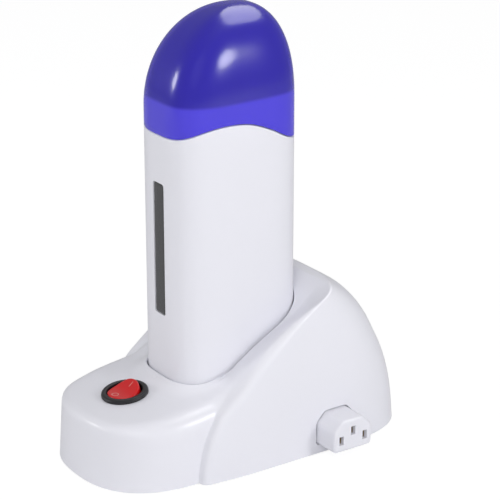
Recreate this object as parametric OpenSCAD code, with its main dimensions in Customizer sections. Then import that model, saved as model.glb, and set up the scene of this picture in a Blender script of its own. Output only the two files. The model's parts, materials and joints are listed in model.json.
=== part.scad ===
// Roll-on wax heater: a hand-held cartridge heater standing in its mains dock.
// Frame: +Z up, -Y is the toe with the switch, +X is the side with the outlet.
// The origin is on the surface it stands on, in the middle of the handset's width.

/* [Base] */
// Y of the tip of the toe, measured forward from the origin
toe_front = 84.5; // [80:0.5:95]
// Half width of the toe at the floor
toe_half = 42; // [40:0.5:44]
// Half width of the hump at the floor
hump_half = 48; // [46:0.5:58]
// Y of the back of the hump
hump_back = 88; // [84:0.5:106]
// Height of the hump's ridge behind the handset
ridge_h = 80.5; // [76:0.5:96]
// Height of the deck at its front edge
deck_h = 32.8; // [32:0.1:38]
// Wall of the base shell
base_wall = 2.4; // [1.8:0.1:3]

/* [Handset] */
// Half width of the handset across X
hand_a = 24.2; // [20:0.1:25]
// Half width of the handset across Y
hand_b = 34.7; // [28.8:0.1:36]
// Y of the handset's middle plane
hand_y = -0.6; // [-2:0.1:2]
// Squareness of the handset's section, 2 is an ellipse
hand_n = 3.5; // [3:0.1:4]
// Height of the handset's lower end above the floor
hand_bottom = 22.3; // [21.3:0.1:27]
// Wall of the handset shell
hand_wall = 2; // [1.6:0.1:2.4]
// Mean height of the wavy joint between shell and cap
seam_h = 161; // [156:0.5:190]
// Height of the collar's top
collar_h = 178; // [176:0.5:212]

/* [Cap] */
// Height where the cap starts to dome
dome_start = 172; // [172:0.5:206]
// Height of the cap's top
cap_top = 219.8; // [216:0.5:262]
// Y of the cap's highest point
apex_y = 7.4; // [0:0.1:9]
// Wall of the cap
cap_wall = 1.6; // [1.3:0.1:2]

/* [Level window] */
// Width of the window
window_w = 9.2; // [7:0.1:10]
// Height of the window's lower edge
window_low = 72.5; // [70:0.5:80]
// Height of the window's upper edge
window_high = 138.5; // [115:0.5:140]

/* [Cartridge well] */
// Room between the well and the handset's wall at the sides
well_side = 6.6; // [6.4:0.1:8]
// Room between the well and the handset's wall at the front and back
well_end = 6.7; // [6.4:0.1:9]
// Height of the well's floor
well_floor = 60; // [56:0.5:66]

/* [Switch] */
// How far the bezel reaches past the switch body
bezel_reach = 1.6; // [1.2:0.1:2]
// Diameter of the switch body in the deck hole
switch_d = 19.8; // [17:0.1:24]
// Y of the switch centre, measured forward from the origin
switch_front = 56; // [54:0.5:62]
// Slope of the deck under the switch
deck_slope = 7; // [5:0.5:9]
// Tilt of the rocker each way from level
rocker_tilt = 12; // [8:0.5:13]

/* [Mains connectors] */
// Y of the middle of the outlet and the inlet
port_y = 35.2; // [34:0.1:40]
// Height of the middle of the outlet and the inlet
port_z = 13.8; // [13.6:0.1:15]
// How far the outlet stands out of the side wall
port_reach = 15; // [12:0.5:16]

/* [Hidden] */

gap = 0.3;              // between fixed pieces
slide_gap = 0.5;        // round the handset in its dock
bore_gap = 0.05;        // pins and screws in their holes
flush = 0.1;            // between faces that meet
foot_h = 1.2;           // how far the feet stand out
foot_r = 6;
plate_t = 2.5;
plate_top = foot_h + plate_t;
rim_z = 0.8;            // lower edge of the base shell
far = 300;              // longer than anything here

white = [0.93, 0.93, 0.96];
inner_white = [0.86, 0.86, 0.88];

// ---------- curves ----------

// Point of a superellipse with half axes a and b and squareness n
function oval_point(a, b, n, t) = [sign(cos(t)) * a * pow(abs(cos(t)), 2 / n),
    sign(sin(t)) * b * pow(abs(sin(t)), 2 / n)];
function oval(a, b, n, sides = 64) = [for (i = [0 : sides - 1]) oval_point(a, b, n, 360 * i / sides)];

// Catmull-Rom value of the rows [x, y] at x
function row_at(rows, i) = rows[max(0, min(len(rows) - 1, i))];
function spline_piece(rows, x, i = 0) =
    i >= len(rows) - 2 || x < rows[i + 1][0] ? i : spline_piece(rows, x, i + 1);
function spline(rows, x) =
    let (i = spline_piece(rows, x), p = row_at(rows, i), q = row_at(rows, i + 1),
        u = (x - p[0]) / (q[0] - p[0]), h = q[0] - p[0],
        o = row_at(rows, i - 1), r = row_at(rows, i + 2),
        m0 = (q[1] - o[1]) / (q[0] - o[0]) * h, m1 = (r[1] - p[1]) / (r[0] - p[0]) * h)
    (2 * pow(u, 3) - 3 * u * u + 1) * p[1] + (pow(u, 3) - 2 * u * u + u) * m0
        + (3 * u * u - 2 * pow(u, 3)) * q[1] + (pow(u, 3) - u * u) * m1;

// Height of the wavy joint at y: highest over the middle, lowest at the back
seam_rows = [[-36, 0.7], [-21, 5.9], [-10, 6.9], [2, 5.4], [13, 1.1], [24, -4.6], [36, -7.6]];
function seam(y) = seam_h + spline(seam_rows, y);

// ---------- outlines ----------

// Left-hand normal of the step from p to q
function normal(p, q) = let (d = q - p) [-d[1], d[0]] / norm(d);
// A closed clockwise outline drawn in by d along its mitred corners
function inset(pts, d) = let (c = len(pts)) [for (i = [0 : c - 1])
    let (n1 = normal(pts[(i + c - 1) % c], pts[i]), n2 = normal(pts[i], pts[(i + 1) % c]), m = n1 + n2)
    pts[i] - m * (d / max(0.4, (m * m) / 2))];

// Height of the deck under the middle of the switch, and half the length of the flat that seats it
switch_z = deck_h + 2.9;
seat_half = switch_d / 2 + bezel_reach + 2;
ridge_y = 42.5;
// Side profile of the toe and the saddle that climbs to the ridge, as [y, z] from front to back
toe_front_rows = [[-toe_front, -20], [-toe_front, rim_z], [-toe_front + 1, 14], [-toe_front + 3.5, 24],
    [-toe_front + 7.5, deck_h - 3.3], [-toe_front + 12, deck_h],
    [-switch_front - seat_half, switch_z - seat_half * tan(deck_slope)]];
saddle_rows = [[-switch_front + seat_half, switch_z + seat_half * tan(deck_slope)], [-33, deck_h + 5.9],
    [-26, deck_h + 6.8], [-19.5, deck_h + 8.2], [-12.4, ridge_h - 34.7], [-5.5, ridge_h - 29.7],
    [5.1, ridge_h - 23.8], [20.1, ridge_h - 17.1], [28.4, ridge_h - 11.6], [34, ridge_h - 6.8],
    [ridge_y, ridge_h]];
toe_profile = concat(toe_front_rows, saddle_rows, [[ridge_y + 1.5, -20]]);
// Side profile of the hump with its cheeks
hump_profile = [[-41.6, -20], [-41.2, rim_z], [-40, 8], [-36.5, 18], [-31, 28], [-26, 36], [-20, ridge_h - 36],
    [-13, ridge_h - 28.5], [-4, ridge_h - 20.5], [5, ridge_h - 14.5], [14, ridge_h - 9.5], [24, ridge_h - 5.5],
    [33, ridge_h - 2.8], [ridge_y, ridge_h], [48, ridge_h - 2], [hump_back - 33, ridge_h - 6.5],
    [hump_back - 26, ridge_h - 12], [hump_back - 18.5, ridge_h - 20.5], [hump_back - 13, ridge_h - 30],
    [hump_back - 8, ridge_h - 41], [hump_back - 4.5, ridge_h - 51], [hump_back - 1.6, 16],
    [hump_back, rim_z], [hump_back, -20]];
// Half widths over the height
toe_section = [[toe_half, -20], [toe_half, rim_z], [toe_half - 0.8, 18], [toe_half - 3, deck_h - 5],
    [toe_half - 6, deck_h + 1.5], [toe_half - 8, deck_h + 6], [toe_half - 8, far]];
hump_section = [[hump_half, -20], [hump_half, rim_z], [hump_half - 0.6, 20], [hump_half - 2, 40],
    [hump_half - 4.5, 58], [hump_half - 8, ridge_h - 8], [hump_half - 11, ridge_h + 1], [hump_half - 11, far]];
nose_y = -39.3;
nose_n = 2.5;
tail_y = 20;
tail_n = 3.5;

function mirrored(rows) = concat(rows, [for (i = [len(rows) - 1 : -1 : 0]) [-rows[i][0], rows[i][1]]]);
function arc_rows(a, b, n, y0, from, to, steps = 24) = [for (i = [0 : steps])
    oval_point(a, b, n, from + (to - from) * i / steps) + [0, y0]];

toe_plan = concat(arc_rows(toe_half, toe_front + nose_y, nose_n, nose_y, 180, 360),
    [[toe_half, 44], [-toe_half, 44]]);
hump_plan = concat(arc_rows(hump_half, hump_back - tail_y, tail_n, tail_y, 0, 180),
    [[-hump_half, -18], [-hump_half + 2.5, -42], [-hump_half + 2.5, -60], [hump_half - 2.5, -60],
    [hump_half - 2.5, -42], [hump_half, -18]]);

// A solid bounded by a side profile, a plan and a cross section, each drawn in by d
module bounded(profile, plan, section, d, z0) {
    intersection() {
        rotate([90, 0, 90]) translate([0, 0, -far / 2]) linear_extrude(far) polygon(inset(profile, d));
        translate([0, 0, z0]) linear_extrude(far) polygon(inset(plan, -d));
        rotate([90, 0, 0]) translate([0, 0, -far / 2])
            linear_extrude(far) polygon(mirrored([for (r = section) [r[0] - d, r[1]]]));
    }
}
module toe_solid(d, z0) { bounded(toe_profile, toe_plan, toe_section, d, z0); }
module hump_solid(d, z0) { bounded(hump_profile, hump_plan, hump_section, d, z0); }

// The space above the saddle between the cheeks, raised by d
cheek_t = 10.5;
module saddle_air(d) {
    rotate([90, 0, 90]) translate([0, 0, -hump_half + cheek_t + d])
        linear_extrude(2 * (hump_half - cheek_t - d))
            polygon(concat([for (r = saddle_rows) r + [0, d]], [[ridge_y, far], [-70, far]]));
}

// The handset's section drawn out by d, from z0 to z1
module hand_prism(d, z0, z1) {
    translate([0, hand_y, z0]) linear_extrude(z1 - z0) polygon(oval(hand_a + d, hand_b + d, hand_n));
}
module well_prism(d, z0, z1) {
    translate([0, hand_y, z0]) linear_extrude(z1 - z0) polygon(oval(well_a + d, well_b + d, 4, 48));
}
module block(size, centre) { translate(centre - size / 2) cube(size); }
module rod(r, z0, z1, at = [0, 0]) {
    translate([at[0], at[1], z0]) cylinder(r = r, h = z1 - z0, $fn = 32);
}

// ---------- base ----------

cup_wall = 1.8;
pad_r = 14;             // moulded pad under the plug, which takes the push of docking
cup_floor_t = 2;
cup_floor = hand_bottom - gap - cup_floor_t; // underside of the dock cup's floor
rim_rise = 2.2;         // how far the dock's rim stands over the deck at the front
boss_r = 4;
screw_r = 1.3;
screw_head_r = 2.7;
screw_head_t = 1.4;
screw_len = 14;
base_screw_at = [for (sx = [-1, 1]) each [[sx * (toe_half - 10), -50], [sx * (hump_half - 12), 58]]];
cup_screw_at = [for (sx = [-1, 1], y = [-22, 20]) [sx * 15, y]];
plate_fit = base_wall + gap;

module base_air(z0) { toe_solid(base_wall, z0); hump_solid(base_wall, z0); }

module base_shell() color(white) difference() {
    union() {
        difference() {
            union() { toe_solid(0, rim_z); hump_solid(0, rim_z); }
            saddle_air(0);
            difference() {
                base_air(-10);
                translate([0, 0, -base_wall]) saddle_air(0);
            }
        }
        intersection() {
            for (p = base_screw_at) rod(boss_r, plate_top + flush, ridge_h, p);
            union() { toe_solid(0.5, rim_z); hump_solid(0.5, rim_z); }
        }
    }
    hand_prism(slide_gap + cup_wall + gap, cup_floor - 2, far);
    for (p = base_screw_at) rod(screw_r + bore_gap, 0, plate_top + screw_len, p);
    switch_frame() cylinder(r = switch_d / 2 + gap, h = 40, center = true, $fn = 64);
    at_outlet() linear_extrude(outlet_len) plug_face(gap);
    block([30, inlet_w + 2 * gap, 2 * notch_top], [-hump_half, port_y, 0]);
}

module base_bottom() color(inner_white) difference() {
    union() {
        intersection() {
            translate([0, 0, foot_h]) linear_extrude(plate_t) union() {
                polygon(inset(toe_plan, -plate_fit - 0.4));
                polygon(inset(hump_plan, -plate_fit - 0.4));
            }
            union() { toe_solid(plate_fit, -10); hump_solid(plate_fit, -10); }
        }
        rod(pad_r, 0, plate_top - 1);
    }
    for (p = concat(base_screw_at, cup_screw_at)) {
        rod(screw_r + bore_gap, 0, plate_top + 1, p);
        rod(screw_head_r + gap, 0, foot_h + screw_head_t + flush, p);
    }
    for (p = foot_at) rod(foot_r + bore_gap, 0, foot_h + 0.8, p);
}
foot_at = [for (sx = [-1, 1]) each [[sx * 22, -66], [sx * 29, 72]]];
module rubber_feet() color([0.18, 0.18, 0.19]) for (p = foot_at) rod(foot_r, 0, foot_h + 0.8 - bore_gap, p);

module screw(at, len) {
    rod(screw_head_r, foot_h + 0.2, foot_h + screw_head_t, at);
    rod(screw_r, foot_h + screw_head_t - 0.2, foot_h + screw_head_t + len, at);
}
module base_screws() color([0.72, 0.73, 0.75]) for (p = base_screw_at) screw(p, screw_len);
module dock_cup_screws() color([0.72, 0.73, 0.75]) for (p = cup_screw_at)
    screw(p, cup_floor + cup_floor_t - foot_h - screw_head_t - 0.3);

// The lined pocket that holds the handset, cut off along the dock's sloping rim
rim_profile = [[-60, -10], [-60, deck_h + 6 + rim_rise], [-20, deck_h + 6 + rim_rise],
    [-12.4, ridge_h - 34.2], [-5.5, ridge_h - 29.2], [5.1, ridge_h - 23.3], [20.1, ridge_h - 16.6],
    [28.4, ridge_h - 11.1], [34, ridge_h - 6.3], [60, ridge_h - 6.3], [60, -10]];
module dock_cup() color(white) difference() {
    union() {
        intersection() {
            hand_prism(slide_gap + cup_wall, cup_floor, far);
            rotate([90, 0, 90]) translate([0, 0, -far / 2]) linear_extrude(far) polygon(rim_profile);
        }
        for (p = cup_screw_at) rod(boss_r, plate_top + flush, cup_floor + cup_floor_t / 2, p);
    }
    hand_prism(slide_gap, cup_floor + cup_floor_t, far);
    block([plug_t + 2 * gap, plug_w + 2 * gap, 10], [0, hand_y, cup_floor]);
    for (p = cup_screw_at) rod(screw_r + bore_gap, 0, cup_floor + cup_floor_t - 0.2, p);
}

// ---------- mains connectors ----------

plug_w = 22.5;          // size of a three-pole plug face
plug_t = 16;
plug_chamfer = 5;
inlet_w = 28;
inlet_t = 19.4;
pin_w = 4;
pin_t = 2;
pole_pitch = 14;        // distance between live and neutral
earth_rise = 4;
pole_at = [[-pole_pitch / 2, -earth_rise / 2], [pole_pitch / 2, -earth_rise / 2], [0, earth_rise / 2]];
contact_wall = 0.6;
contact_len = 12;

// Face of a plug, drawn out by d, with its two upper corners cut off
module plug_face(d) polygon([[-plug_w / 2 - d, -plug_t / 2 - d], [plug_w / 2 + d, -plug_t / 2 - d],
    [plug_w / 2 + d, plug_t / 2 - plug_chamfer + d / 2], [plug_w / 2 - plug_chamfer + d / 2, plug_t / 2 + d],
    [-plug_w / 2 + plug_chamfer - d / 2, plug_t / 2 + d], [-plug_w / 2 - d, plug_t / 2 - plug_chamfer + d / 2]]);
module pole_block(across, along, d, len) {
    for (p = pole_at) translate([p[0] - across / 2 - d, p[1] - along / 2 - d, 0])
        cube([across + 2 * d, along + 2 * d, len]);
}
// Local frame of a connector: X along the pole pair, Y towards the earth pole, Z out of the face
module socket_body(len, flange_at, flange_t) difference() {
    union() {
        linear_extrude(len) plug_face(0);
        translate([0, 0, flange_at]) linear_extrude(flange_t) plug_face(1.8);
    }
    translate([0, 0, len - contact_len - 2.4])
        pole_block(pin_t + 0.4 + 2 * contact_wall, pin_w + 0.4 + 2 * contact_wall, bore_gap, contact_len + 0.2);
    translate([0, 0, len - 3]) pole_block(pin_t, pin_w, 0.3, 4);
    translate([0, 0, -1]) pole_block(pin_t, pin_w, 0.4, len);
}
module socket_contacts(len) {
    translate([0, 0, len - contact_len - 2.3]) difference() {
        union() {
            pole_block(pin_t + 0.4 + 2 * contact_wall, pin_w + 0.4 + 2 * contact_wall, 0, contact_len);
            translate([0, 0, -len + contact_len - 2]) pole_block(0.8, pin_w, 0, len - contact_len + 3);
        }
        translate([0, 0, 1]) pole_block(pin_t, pin_w, 0.2, contact_len);
    }
}
module at_outlet() translate([outlet_back, port_y, port_z]) rotate([90, 0, 90]) children();
outlet_back = hump_half - 6;
outlet_len = port_reach + 5;
module outlet_body() color(white) at_outlet() socket_body(outlet_len, 0, 2);
module outlet_contacts() color("goldenrod") at_outlet() socket_contacts(outlet_len);

// A recessed inlet with three pins; Z points out of its mouth
recess_depth = 15;
module recess_body(w, t, len) difference() {
    union() {
        translate([-w / 2, -t / 2, 0]) cube([w, t, len]);
        translate([-w / 2 - 2, -t / 2, 0]) cube([w + 4, t + 1.5, 2]);
    }
    translate([0, 0, len - recess_depth]) linear_extrude(recess_depth + 1) plug_face(0.5);
    translate([0, 0, -1]) pole_block(pin_t, pin_w, bore_gap, len);
}
module recess_pins(len, tail) translate([0, 0, -tail]) pole_block(pin_t, pin_w, 0, len - 3.5 + tail);
inlet_len = 18;
inlet_back = -hump_half + 0.4 + inlet_len;
module at_inlet() translate([inlet_back, port_y, port_z]) rotate([90, 0, -90]) children();
notch_top = port_z + inlet_t / 2 + gap;
apron_t = base_wall - flush;
// The inlet with an apron that closes the shell's notch below it
module inlet_body() color([0.12, 0.12, 0.13]) at_inlet() {
    recess_body(inlet_w, inlet_t, inlet_len);
    translate([-inlet_w / 2, rim_z - port_z, inlet_len - apron_t])
        cube([inlet_w, port_z - inlet_t / 2 - rim_z + 1, apron_t]);
}
module inlet_pins() color("silver") at_inlet() recess_pins(inlet_len, 5);

// The plug that stands in the dock: X of its local frame runs along the handset's length
plug_z0 = cup_floor - 3.3;
plug_len = 17.5;
module at_plug() translate([0, hand_y, plug_z0]) rotate(90) children();
module dock_connector() color([0.12, 0.12, 0.13]) at_plug() socket_body(plug_len, 0, 3);
module dock_contacts() color("goldenrod") at_plug() socket_contacts(plug_len);

// ---------- switch ----------

bezel_t = 2;
bezel_r = switch_d / 2 + bezel_reach;
switch_depth = 18;
cavity_r = switch_d / 2 - 1.1;
rocker_r = cavity_r - 0.9;
rocker_pin_r = 1.2;
pivot_z = -0.8;
module switch_frame() translate([0, -switch_front, switch_z]) rotate([deck_slope, 0, 0]) children();
module switch_housing() color([0.1, 0.1, 0.11]) switch_frame() difference() {
    union() {
        translate([0, 0, flush]) cylinder(r = bezel_r, h = bezel_t - 0.7, $fn = 96);
        translate([0, 0, bezel_t - 0.7]) cylinder(r1 = bezel_r, r2 = bezel_r - 0.8, h = 0.7, $fn = 96);
        translate([0, 0, -switch_depth]) cylinder(r = switch_d / 2, h = switch_depth + 1, $fn = 96);
    }
    translate([0, 0, -7]) cylinder(r = cavity_r, h = 20, $fn = 96);
    translate([0, 0, pivot_z]) rotate([0, 90, 0])
        cylinder(r = rocker_pin_r + bore_gap, h = switch_d - 1, center = true, $fn = 32);
    for (y = [-4, 4]) translate([-3.2, y - 0.45, -switch_depth - 1]) cube([6.4, 0.9, 5]);
}
module switch_terminals() color("silver") switch_frame() for (y = [-4, 4])
    translate([-3.15, y - 0.4, -switch_depth - 6]) cube([6.3, 0.8, 9]);
module switch_rocker() color([0.82, 0.08, 0.07]) switch_frame() translate([0, 0, pivot_z])
    rotate([rocker_tilt, 0, 0]) {
        intersection() {
            translate([0, 0, -3]) cylinder(r = rocker_r, h = 9, $fn = 96);
            rotate([90, 0, 90]) translate([0, 0, -10]) linear_extrude(20) polygon([[-9, -2], [9, -2],
                [9, 4.4], [7, 4.3], [3.6, 3], [0, 2.4], [-3.6, 3], [-7, 4.3], [-9, 4.4]]);
        }
        rotate([0, 90, 0]) cylinder(r = rocker_pin_r, h = switch_d - 1.2, center = true, $fn = 32);
    }

// ---------- wiring ----------

wire_r = 1.1;
bend_extra = 0.35;      // how much fatter a wire is at a bend
module leg(a, b) {
    d = b - a;
    translate(a) rotate([0, acos(d[2] / norm(d)), atan2(d[1], d[0])]) cylinder(r = wire_r, h = norm(d), $fn = 20);
}
module wire(pts) {
    for (i = [0 : len(pts) - 2]) leg(pts[i], pts[i + 1]);
    for (i = [1 : len(pts) - 2]) translate(pts[i]) sphere(r = wire_r + bend_extra, $fn = 20);
}
// From the inlet's tails to the outlet's tails, one wire for each pole
tail_in = inlet_back + 5 + flush;
tail_out = outlet_back - 4.3 - flush;
module mains_wires() color([0.35, 0.25, 0.2]) for (p = pole_at)
    wire([[tail_in, port_y + p[0], port_z + p[1]], [tail_out, port_y + p[0], port_z + p[1]]]);
// From the live line forward to the switch
switch_low = switch_z - switch_depth - 6.2;
module switch_wires() color([0.2, 0.2, 0.25]) for (sx = [-1, 1])
    wire([[sx * 21, port_y - 9.5, 7], [sx * 23, -38, 7], [sx * 2, -switch_front - 1 + sx * 4, switch_low - 3.2],
        [sx * 0.5, -switch_front + 2.2 + sx * 4, switch_low]]);
// From the mains line to the plug in the dock
module dock_wires() color([0.3, 0.3, 0.32]) for (i = [0 : 2])
    wire([[[4, 0, -4][i], port_y - 9, 7], [[4, 0, -4][i], 12, 7],
        [-pole_at[i][1], hand_y + pole_at[i][0], 8],
        [-pole_at[i][1], hand_y + pole_at[i][0], plug_z0 - 4.3 - flush]]);

// ---------- handset ----------

inner_d = -hand_wall;
module below_seam(drop) rotate([90, 0, 90]) translate([0, 0, -far / 2]) linear_extrude(far)
    polygon(concat([[60, 0], [-60, 0]], [[-60, seam(-36) - drop]],
        [for (y = [-36 : 3 : 36]) [y, seam(y) - drop]], [[60, seam(36) - drop]]));
hand_screw_at = [for (sy = [-1, 1]) [0, hand_y + sy * (hand_b - hand_wall - 3.4)]];
cap_plate_t = 2.5;
hand_floor = hand_bottom + cap_plate_t;
well_wall = 1.4;
well_a = hand_a - hand_wall - well_side;
well_b = hand_b - hand_wall - well_end;
window_y = hand_y - hand_b;
window_mid = (window_low + window_high) / 2;
window_h = window_high - window_low;
module handset_shell() color(white) difference() {
    union() {
        intersection() {
            difference() {
                hand_prism(0, hand_bottom, seam_h + 20);
                hand_prism(inner_d, hand_bottom - 1, seam_h + 21);
            }
            below_seam(0.15);
        }
        intersection() {
            for (p = hand_screw_at) rod(3.6, hand_floor + flush, hand_floor + 20, p);
            hand_prism(-0.5, hand_bottom, seam_h);
        }
    }
    for (p = hand_screw_at) rod(screw_r + bore_gap, 0, hand_floor + 12, p);
    block([window_w, 12, window_h], [0, window_y, window_mid]);
}
module handset_bottom_cap() color(inner_white) difference() {
    hand_prism(inner_d - 0.2, hand_bottom + 0.2, hand_floor);
    block([bay_t + 2 * gap, bay_w + 2 * gap, 10], [0, hand_y, hand_bottom]);
    for (p = hand_screw_at) {
        rod(screw_r + bore_gap, 0, hand_floor + 1, p);
        rod(screw_head_r + gap, 0, hand_bottom + 1.5, p);
    }
}
module handset_screws() color([0.72, 0.73, 0.75]) for (p = hand_screw_at) {
    rod(screw_head_r, hand_bottom + 0.3, hand_bottom + 1.5 - flush, p);
    rod(screw_r, hand_bottom + 1, hand_bottom + 12, p);
}
bay_w = 27;
bay_t = 20;
bay_len = 18;
module at_bay() translate([0, hand_y, hand_bottom + 0.2 + bay_len]) mirror([0, 0, 1]) rotate(90) children();
module handset_inlet() color([0.12, 0.12, 0.13]) at_bay() recess_body(bay_w, bay_t, bay_len);
module handset_inlet_pins() color("silver") at_bay() recess_pins(bay_len, bay_tail);

module window_lens() color([0.45, 0.46, 0.48, 0.7]) union() {
    block([window_w - 2 * flush, hand_wall - 0.5, window_h - 2 * flush],
        [0, window_y + 0.4 + (hand_wall - 0.5) / 2, window_mid]);
    block([window_w + 3, 1.2, window_h + 4], [0, window_y + hand_wall + 0.2 + 0.6, window_mid]);
    block([window_w - 2 * flush, 1, window_h - 2 * flush], [0, window_y + hand_wall - 0.2, window_mid]);
}
module cartridge_well() color(inner_white) difference() {
    well_prism(well_wall, well_floor - well_wall, collar_h - 2 - flush);
    well_prism(0, well_floor, far);
    block([window_w - 1.2, 12, window_h - 4], [0, hand_y - well_b, window_mid]);
}
collar_drop = 10;       // how far the collar reaches down inside the shell
collar_in = -cap_wall - slide_gap;
module well_collar() color(white) difference() {
    union() {
        hand_prism(inner_d - 0.2, seam_h - 8 - collar_drop, seam_h - 10);
        hand_prism(collar_in - 0.3, seam_h - 11, collar_h);
    }
    hand_prism(collar_in - 1.8, 0, collar_h - 2);
    well_prism(0.2, 0, far);
}
plate_y = 18;
plate_low = 72;
plate_high = 138;
plate_x = well_a + well_wall + gap;
heat_plate_t = 1.6;
module heating_plates() color("silver") for (sx = [-1, 1])
    block([heat_plate_t, 2 * plate_y, plate_high - plate_low],
        [sx * (plate_x + heat_plate_t / 2), hand_y, (plate_low + plate_high) / 2]);
ptc_t = 1.4;
ptc_w = 22;
ptc_h = 30;
ptc_z = 100;
module ptc_heater() color([0.55, 0.5, 0.45]) for (sx = [-1, 1])
    block([ptc_t, ptc_w, ptc_h], [sx * (plate_x + heat_plate_t + flush + ptc_t / 2), hand_y, ptc_z]);
fuse_r = 1.2;
fuse_low = 76;
module thermal_fuse() color([0.85, 0.8, 0.65])
    translate([plate_x + heat_plate_t + flush + fuse_r, hand_y, fuse_low]) cylinder(r = fuse_r, h = 7, $fn = 24);
bay_tail = 5;           // how far the inlet's pins stand out of its back
bay_top = hand_bottom + 0.2 + bay_len + bay_tail + flush;
wire_rise = 5.4;        // from the pins to the wires' first bend
wire_x = plate_x + heat_plate_t + 1.3;
module handset_wires() color([0.35, 0.25, 0.2]) {
    for (side = [[-1, fuse_low], [1, ptc_z - ptc_h / 2]])
        let (x = -pole_at[0][1], y = hand_y + side[0] * pole_pitch / 2)
            wire([[x, y, bay_top], [x, y, bay_top + wire_rise], [-side[0] * wire_x, hand_y, well_floor - 6],
                [-side[0] * wire_x, hand_y, side[1] - flush]]);
}

// ---------- cap ----------

// Fraction left of each half width at the share t of the dome's height
function shrink(t, p) = pow(max(0, 1 - pow(t, p)), 1 / p);
cap_sides = 56;
cap_low = 3;            // rings below the dome
cap_rings = 15;         // rings over the dome
// Point of the cap's surface drawn in by d, at ring k and side i
function cap_point(k, i, d) =
    let (o = oval_point(hand_a - d, hand_b - d, hand_n, 360 * i / cap_sides) + [0, hand_y],
        t = k <= cap_low ? 0 : sin(90 * (k - cap_low) / (cap_rings + 0.6)),
        rim = seam(o[1]) + 0.3, z = k <= cap_low ? rim + (dome_start - rim) * k / cap_low
            : dome_start + (cap_top - d - dome_start) * t,
        side = o[1] < apex_y ? shrink(t, 2) : shrink(t, 2.5))
    [o[0] * shrink(t, 2.3), apex_y + (o[1] - apex_y) * side, z];
function cap_shell(d) = concat([for (k = [0 : cap_low + cap_rings], i = [0 : cap_sides - 1]) cap_point(k, i, d)],
    [[0, apex_y, cap_top - d]]);
module cap() color([0.25, 0.2, 0.7, 0.6]) {
    outer = cap_shell(0);
    inner = cap_shell(cap_wall);
    c = cap_sides;
    top = cap_low + cap_rings;
    shift = len(outer);
    polyhedron(concat(outer, inner), concat(
        [for (k = [0 : top - 1], i = [0 : c - 1]) let (j = (i + 1) % c) each
            [[k * c + i, (k + 1) * c + i, k * c + j], [k * c + j, (k + 1) * c + i, (k + 1) * c + j]]],
        [for (i = [0 : c - 1]) [top * c + i, shift - 1, top * c + (i + 1) % c]],
        [for (k = [0 : top - 1], i = [0 : c - 1]) let (j = (i + 1) % c) each
            [[shift + k * c + i, shift + k * c + j, shift + (k + 1) * c + i],
            [shift + k * c + j, shift + (k + 1) * c + j, shift + (k + 1) * c + i]]],
        [for (i = [0 : c - 1]) [shift + top * c + i, shift + top * c + (i + 1) % c, 2 * shift - 1]],
        [for (i = [0 : c - 1]) let (j = (i + 1) % c) each [[i, j, shift + i], [j, shift + j, shift + i]]]));
}

base_shell();
base_bottom();
rubber_feet();
base_screws();
dock_cup();
dock_cup_screws();
dock_connector();
dock_contacts();
switch_housing();
switch_rocker();
switch_terminals();
outlet_body();
outlet_contacts();
inlet_body();
inlet_pins();
mains_wires();
switch_wires();
dock_wires();
handset_shell();
handset_bottom_cap();
handset_screws();
handset_inlet();
handset_inlet_pins();
handset_wires();
window_lens();
cartridge_well();
well_collar();
heating_plates();
ptc_heater();
thermal_fuse();
cap();
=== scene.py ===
"""The looks of a roll-on wax heater in its mains dock, built round its packed construction.

Sizes are millimetres in the property groups and in the shape functions, and metres in the meshes.
Axes: +Z up, -Y the toe with the switch, +X the side with the outlet.
"""

import json
import math

import bmesh
import bpy
import numpy as np
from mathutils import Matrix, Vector


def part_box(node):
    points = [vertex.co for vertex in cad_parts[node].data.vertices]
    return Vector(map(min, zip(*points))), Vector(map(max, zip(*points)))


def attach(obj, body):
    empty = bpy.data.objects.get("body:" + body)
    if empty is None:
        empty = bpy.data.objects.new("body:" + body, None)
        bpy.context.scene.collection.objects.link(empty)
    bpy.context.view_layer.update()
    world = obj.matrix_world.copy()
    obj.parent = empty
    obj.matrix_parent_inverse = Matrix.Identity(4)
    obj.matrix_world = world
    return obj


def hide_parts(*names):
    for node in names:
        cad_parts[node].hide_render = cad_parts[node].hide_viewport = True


bl_info = {
    "name": "Roll-on wax heater",
    "version": (1, 0, 0),
    "blender": (4, 5, 0),
    "location": "View3D > Sidebar > Wax Heater",
    "description": "Builds the dock, the handset and the cap of a roll-on wax heater",
    "category": "Add Mesh",
}

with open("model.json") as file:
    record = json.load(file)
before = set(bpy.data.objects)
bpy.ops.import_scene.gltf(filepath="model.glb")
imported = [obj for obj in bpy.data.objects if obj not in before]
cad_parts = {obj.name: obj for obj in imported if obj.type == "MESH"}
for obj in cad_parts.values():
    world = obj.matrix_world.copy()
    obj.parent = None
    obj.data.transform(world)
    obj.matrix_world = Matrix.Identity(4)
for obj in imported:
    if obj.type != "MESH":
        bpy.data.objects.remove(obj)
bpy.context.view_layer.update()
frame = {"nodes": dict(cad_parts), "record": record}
MM = 0.001


def node_box(name):
    """Lowest and highest corner of a node, in millimetres."""
    low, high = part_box(name)
    return np.array(low) / MM, np.array(high) / MM


SHELL_LOW, SHELL_HIGH = node_box("handset_shell")
CAP_HIGH = node_box("cap")[1]
BASE_LOW = node_box("base_shell")[0]
CUP_LOW = node_box("dock_cup")[0]
BEZEL_HIGH = node_box("switch_housing")[1]
OUTLET_LOW, OUTLET_HIGH = node_box("outlet_body")
INLET_LOW, INLET_HIGH = node_box("inlet_body")
LENS_LOW, LENS_HIGH = node_box("window_lens")
COLLAR_LOW, COLLAR_HIGH = node_box("well_collar")
WELL_LOW, WELL_HIGH = node_box("cartridge_well")

# ---------- sizes and colours that a user would change ----------


def number(name, text, default, **kind):
    """A number without a unit, or with the one that kind names."""
    return bpy.props.FloatProperty(name=name, description=text, default=default, **kind)


def size(name, text, default):
    """A length in millimetres. Blender's LENGTH unit would show it as metres, so it has none."""
    return number(name, text, default, min=0)


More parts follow.
